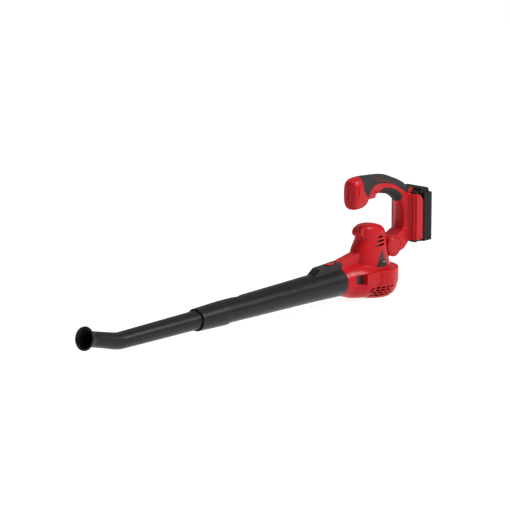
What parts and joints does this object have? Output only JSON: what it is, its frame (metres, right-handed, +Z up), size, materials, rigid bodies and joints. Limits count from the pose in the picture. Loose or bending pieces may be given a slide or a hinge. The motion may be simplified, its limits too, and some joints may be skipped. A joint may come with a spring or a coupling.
{
  "type": "leaf blower",
  "caption": "Handheld battery leaf blower with an upright motor over a fan drum, a long blow tube with a bent nozzle, a pivoting C handle and a slide battery.",
  "frame": {"origin": "on the fan and motor axis, at the flat foot of the intake grille that the blower stands on", "axes": "+Z up along the fan axis, -X the way the air blows along the tube, -Y the user's left"},
  "size_m": [1.0173, 0.114, 0.2478],
  "materials": {
    "housing_red": "fine texture",
    "black_plastic": "fine texture",
    "tube_black": "satin",
    "soft_grip": "soft touch",
    "red_control": "satin",
    "badge": "satin",
    "battery_black": "satin",
    "steel": "bright",
    "zinc": "plated",
    "magnet": "dull",
    "copper": "bright",
    "contact_brass": "bright",
    "carbon": "dull",
    "fan_plastic": "satin",
    "switch_plastic": "satin",
    "board": "satin",
    "cell_can": "satin",
    "wire": "satin"
  },
  "bodies": {
    "housing": {"housing_left": "housing_red", "housing_right": "housing_red", "badge_left": "badge", "badge_right": "badge", "intake_grille": "housing_red", "motor_can": "zinc", "motor_magnets": "magnet", "motor_end_cap": "black_plastic", "motor_mount_plate": "black_plastic", "lower_bearing": "steel", "upper_bearing": "steel", "motor_brushes": "carbon", "motor_wires": "wire", "housing_screws": "steel", "motor_plate_screws": "steel"},
    "rotor": {"motor_shaft": "steel", "armature": "copper", "commutator": "copper", "impeller": "fan_plastic", "impeller_nut": "steel"},
    "tube": {"main_tube": "tube_black", "tube_button_spring": "steel"},
    "tube_button": {"tube_release_button": "red_control"},
    "nozzle": {"nozzle": "tube_black"},
    "handle": {"handle_left": "housing_red", "handle_right": "housing_red", "upper_grip_left": "soft_grip", "upper_grip_right": "soft_grip", "palm_insert_left": "soft_grip", "palm_insert_right": "soft_grip", "trigger_spring": "steel", "switch_module": "switch_plastic", "pivot_pin": "steel", "pivot_cap": "housing_red", "pivot_button_spring": "steel", "terminal_block": "switch_plastic", "terminal_blades": "contact_brass", "speed_control_board": "board", "handle_wires": "wire"},
    "pivot_button": {"pivot_button": "housing_red"},
    "trigger": {"trigger": "red_control"},
    "battery": {"battery_front_case": "battery_black", "battery_rear_case": "battery_black", "battery_cells": "cell_can", "battery_terminals": "contact_brass", "battery_board": "board", "battery_button_spring": "steel"},
    "battery_button": {"battery_release_button": "red_control"}
  },
  "joints": [
    {"name": "rotor_spin", "type": "hinge", "parent": "housing", "child": "rotor", "pos_m": [0, 0, 0.05], "axis": [0, 0, 1], "continuous": true},
    {"name": "tube_slide", "type": "slide", "parent": "housing", "child": "tube", "axis": [-0.9999, 0, 0.0122], "range_m": [0, 0.045]},
    {"name": "tube_button_press", "type": "slide", "parent": "tube", "child": "tube_button", "axis": [-0.0122, 0, -0.9999], "range_m": [0, 0.003], "stiffness_N_per_m": 700, "springref_m": -0.001, "deforming": ["tube_button_spring"]},
    {"name": "nozzle_slide", "type": "slide", "parent": "tube", "child": "nozzle", "axis": [-0.9999, 0, 0.0122], "range_m": [0, 0.06]},
    {"name": "handle_pivot", "type": "hinge", "parent": "housing", "child": "handle", "pos_m": [0.049, 0, 0.093], "axis": [0, 1, 0], "range_deg": [-15, 30]},
    {"name": "pivot_button_press", "type": "slide", "parent": "handle", "child": "pivot_button", "axis": [0, 1, 0], "range_m": [0, 0.003], "stiffness_N_per_m": 700, "springref_m": -0.001, "deforming": ["pivot_button_spring"]},
    {"name": "trigger_pull", "type": "slide", "parent": "handle", "child": "trigger", "axis": [0, 0, 1], "range_m": [0, 0.005], "stiffness_N_per_m": 700, "springref_m": -0.001, "deforming": ["trigger_spring"]},
    {"name": "battery_slide", "type": "slide", "parent": "handle", "child": "battery", "axis": [0, 0, 1], "range_m": [0, 0.11]},
    {"name": "battery_button_press", "type": "slide", "parent": "battery", "child": "battery_button", "axis": [0, 0, -1], "range_m": [0, 0.004], "stiffness_N_per_m": 700, "springref_m": -0.001, "deforming": ["battery_button_spring"]}
  ]
}
